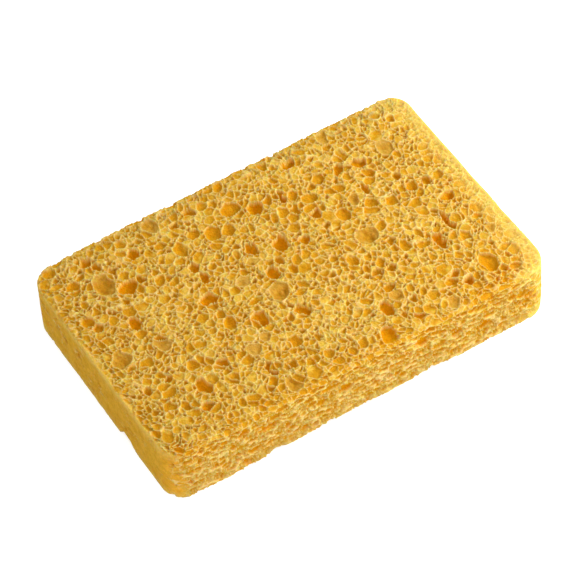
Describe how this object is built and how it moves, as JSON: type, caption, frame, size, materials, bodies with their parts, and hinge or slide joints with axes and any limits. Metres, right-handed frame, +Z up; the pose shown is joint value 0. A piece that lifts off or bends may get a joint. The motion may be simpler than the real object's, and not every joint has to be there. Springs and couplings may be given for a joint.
{
  "type": "cellulose sponge",
  "caption": "Flat rectangular block of open-pored cellulose foam with rounded corners and two skinned ends, for washing and scrubbing by hand.",
  "frame": {"origin": "centre of the underside, on the surface that the sponge lies on", "axes": "+X along the length, +Y across the width and away from the viewer, +Z up through the thickness"},
  "size_m": [0.12, 0.076, 0.019],
  "materials": {
    "cellulose_foam": "matte"
  },
  "bodies": {
    "root": {"sponge": "cellulose_foam"}
  },
  "joints": []
}
